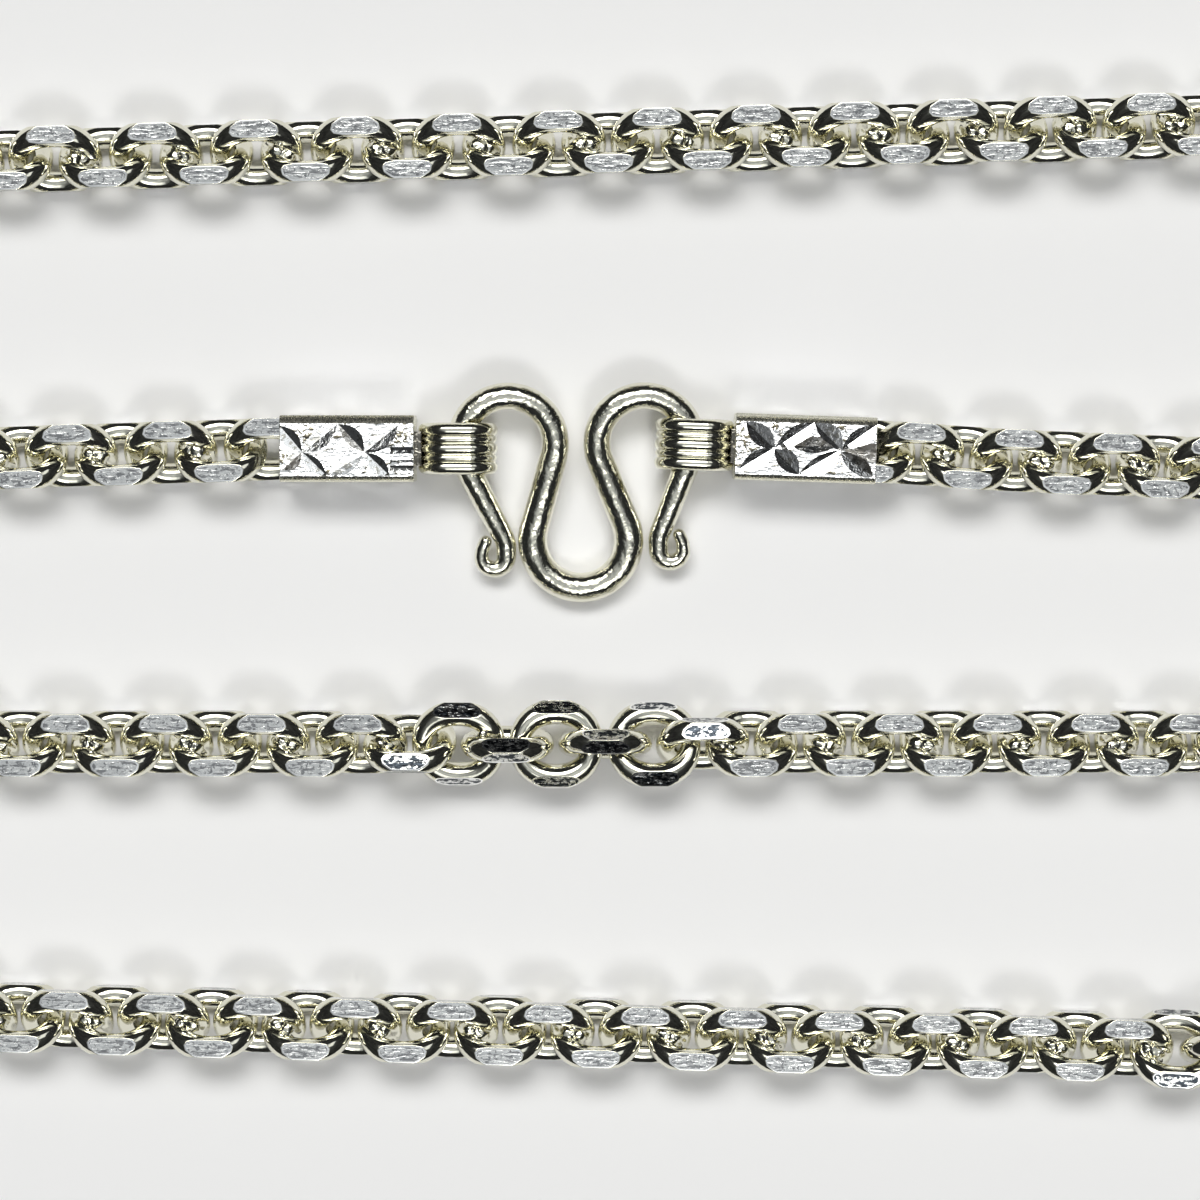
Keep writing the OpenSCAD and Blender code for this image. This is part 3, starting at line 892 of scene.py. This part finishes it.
def arm_points(lobe, bend, long):
    """The right-hand arm from its lobe down to the tip: straight, soft bend, curl and a short end."""
    b = math.radians(bend)
    top = on_circle(lobe, -bend)
    low = top + np.array([-math.sin(b), -math.cos(b)]) * long
    knee = (low[0] + KNEE * math.cos(b), low[1] - KNEE * math.sin(b), KNEE)
    below = on_circle(knee, 180)
    curl = (below[0] + CURL, below[1] - CURL_DROP, CURL)
    lean = (curl[0] + CURL - KNEE, curl[1], KNEE)
    points = straight(top, low) + sweep(knee, 180 - bend, 180) + straight(below, on_circle(curl, 180))
    points += sweep(curl, 180, 360, 0.05) + sweep(lean, 0, LEAN)[1:]
    return points + [points[-1] + TIP]


def hook_line():
    """Points and wire radii along the hook in its own plane, from the left tip to the right one."""
    left, right = leaving(LEFT_LOBE, -1), leaving(RIGHT_LOBE, 1)
    mirrored = (-LEFT_LOBE[0], *LEFT_LOBE[1:])
    left_arm = [p * (-1, 1) for p in arm_points(mirrored, *LEFT_ARM)]
    down = straight(on_circle(LEFT_LOBE, left - 180), on_circle(LOW_BEND, left))
    up = straight(on_circle(LOW_BEND, right), on_circle(RIGHT_LOBE, right + 180))
    parts = [
        (left_arm[::-1], TIP_RADIUS, ARM_RADIUS),
        (sweep(LEFT_LOBE, 180 + LEFT_ARM[0], left - 180), ARM_RADIUS + 0.01, LOBE_RADIUS),
        (down, LOBE_RADIUS + 0.02, BEND_SIDE),
        (sweep(LOW_BEND, left, right + 360), BEND_RADIUS, BEND_RADIUS),
        (up, BEND_SIDE, LOBE_RADIUS + 0.02),
        (sweep(RIGHT_LOBE, right + 180, -RIGHT_ARM[0]), LOBE_RADIUS, ARM_RADIUS + 0.01),
        (arm_points(RIGHT_LOBE, *RIGHT_ARM), ARM_RADIUS, TIP_RADIUS),
    ]
    line = np.concatenate([points for points, _, _ in parts])
    radius = np.concatenate([np.linspace(start, stop, len(points)) for points, start, stop in parts])
    keep = np.append(True, np.linalg.norm(np.diff(line, axis=0), axis=1) > CLOSEST)
    line, radius = line[keep], radius[keep]
    for _ in range(SMOOTHINGS):
        radius[1:-1] = (radius[:-2] + 2 * radius[1:-1] + radius[2:]) / 4
    return line, radius


def round_tube(line, radius, sides, up):
    """A circle across the line is carried along it, and dwindles over four domed rows at each end."""
    ahead = unit(np.gradient(line, axis=0))
    dome = np.radians([[80], [60], [40], [20]])
    head = line[0] - ahead[0] * radius[0] * np.sin(dome)
    tail = line[-1] + ahead[-1] * radius[-1] * np.sin(dome[::-1])
    rows = np.concatenate([head, line, tail])
    radii = np.concatenate([radius[0] * np.cos(dome[:, 0]), radius, radius[-1] * np.cos(dome[::-1, 0])])
    index = np.clip(np.arange(len(rows)) - len(dome), 0, len(line) - 1)
    side = np.cross(ahead[index], up)
    turn = np.linspace(0, 2 * np.pi, sides, endpoint=False)[:, None]
    circles = np.cos(turn) * side[:, None] + np.sin(turn) * up
    grid = rows[:, None] + radii[:, None, None] * circles
    return loft(grid, unit(grid - line[index][:, None]))


flat, wire = hook_line()
across = flat[:, 1] - TILT_LINE
height = TILT_RISE + across * math.sin(HOOK_TILT)
line = np.stack([flat[:, 0], TILT_LINE + across * math.cos(HOOK_TILT), height], 1) - MIDDLE
up = np.array([0, -math.sin(HOOK_TILT), math.cos(HOOK_TILT)])
hook = make_object("hook_wire", round_tube(line, wire, HOOK_SIDES, up), [HOOK_SILVER])
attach(hook, "root")
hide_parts("m_hook")

# The necklace lies on a plain pale surface, smooth and dull as paper. It belongs to the stage, and it is
# a hair below the necklace.

FLOOR_HALF, FLOOR_DROP = 1500, 0.03
FLOOR_COLOUR = (0.90, 0.894, 0.892, 1)

half = FLOOR_HALF * MM
floor_mesh = bpy.data.meshes.new("floor")
floor_corners = [(-half, -half, 0), (half, -half, 0), (half, half, 0), (-half, half, 0)]
floor_mesh.from_pydata(floor_corners, [], [(0, 1, 2, 3)])
floor = bpy.data.objects.new("floor", floor_mesh)
bpy.context.scene.collection.objects.link(floor)
floor.location = (0, 0, -FLOOR_DROP * MM)
paper, where = new_material("floor_paper")
sockets = {"Base Color": FLOOR_COLOUR, "Roughness": 0.9, "Specular IOR Level": 0.1}
where.node("OutputMaterial", {}, {"Surface": where.node("BsdfPrincipled", {}, sockets)})
floor_mesh.materials.append(paper)
floor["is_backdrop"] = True

# The light is that of a small studio. A grey ceiling lights the silver from above, with five panels
# whose places are read off the reflections, and the walls below it are dark, which gives the polished
# wire its black lines.

# Ceiling and walls by the angle from the zenith, 0 up and 0.5 level: place and brightness
CEILING = [
    (0.0, 0.57), (0.06, 0.59), (0.12, 0.46), (0.17, 0.22),
    (0.21, 0.05), (0.3, 0.028), (0.49, 0.028), (0.52, 0.4),
]
# Panels as left, right, low and high of a direction's x / z and y / z, then their light
PANELS = [
    (-0.62, 0.40, 0.30, 0.88, 1.8),
    (-0.50, 0.32, 0.45, 0.80, 8.5),
    (0.48, 0.78, 0.30, 1.00, 1.0),
    (-0.25, 0.62, -0.88, -0.32, 1.1),
    (0.0, 0.30, -0.74, -0.50, 12.0),
]
COOL, WARM = (0.93, 0.97, 1.0, 1), (1.0, 1.0, 0.985, 1)


def rising(value, at, soft=0.06):
    """0 below a value and 1 above it, with a soft step between."""
    sockets = {"Value": value, "From Min": at - soft, "From Max": at + soft}
    return value.node("MapRange", {"interpolation_type": "SMOOTHSTEP"}, sockets)


world = bpy.data.worlds.new("studio")
bpy.context.scene.world = world
world.use_nodes = True
world.node_tree.nodes.clear()
where = Signal(world.node_tree).node("TexCoord", {}, {}, "Generated")
way = where.node("VectorMath", {"operation": "NORMALIZE"}, {0: where})
x, y, z = (way.node("SeparateXYZ", {}, {0: way}, k) for k in range(3))
cloud = way.node("TexNoise", {}, {"Vector": way, "Scale": 5.0, "Detail": 2.0})
from_zenith = z.maths("ARCCOSINE", z) / math.pi
light = from_zenith.ramp(*CEILING) * (rising(cloud, 0.5, 0.12) * 0.5 + 0.65)
above = rising(z, 0.3, 0.1)
overhead = z.most(0.05)
u, v = x / overhead, y / overhead
for left, right, low, high, strength in PANELS:
    panel = (rising(u, left) - rising(u, right)) * (rising(v, low) - rising(v, high))
    light = panel * above * strength + light
mixed = {"Factor": rising(light, 1.2, 0.6), "A": COOL, "B": WARM}
tint = light.node("Mix", {"data_type": "RGBA"}, mixed, "Result")
back = light.node("Background", {}, {"Color": tint, "Strength": light})
back.node("OutputWorld", {}, {"Surface": back})
world.cycles.sampling_method = "MANUAL"
world.cycles.sample_map_resolution = 1024

# The camera looks down on the middle of the four runs from a fifth of a metre, a little from the far
# side, with a field as wide there as the photograph's.

CAMERA_HEIGHT, CAMERA_BACK, AIM_HEIGHT = 201.6, 8.5, 1.6
VIEW_WIDTH = 60

lens = bpy.data.cameras.new("camera")
camera = bpy.data.objects.new("camera", lens)
bpy.context.scene.collection.objects.link(camera)
bpy.context.scene.camera = camera
camera.location = (np.array([0, CAMERA_BACK, CAMERA_HEIGHT]) - MIDDLE) * MM
look = (np.array([0, 0, AIM_HEIGHT]) - MIDDLE) * MM - np.array(camera.location)
camera.rotation_euler = (math.atan2(look[1], -look[2]), 0, 0)
lens.sensor_width = 36
lens.lens = lens.sensor_width * np.linalg.norm(look) / (VIEW_WIDTH * MM)
lens.clip_start, lens.clip_end = 0.01, 10

scene = bpy.context.scene
scene.cycles.max_bounces = 14
scene.cycles.glossy_bounces = 12
scene.cycles.diffuse_bounces = 4
scene.cycles.caustics_reflective = True
scene.cycles.blur_glossy = 0.3
scene.cycles.sample_clamp_indirect = 6
scene.view_settings.view_transform = "Standard"
scene.view_settings.look = "None"
scene.view_settings.exposure = 0.0

low, high = [list(v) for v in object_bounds()]
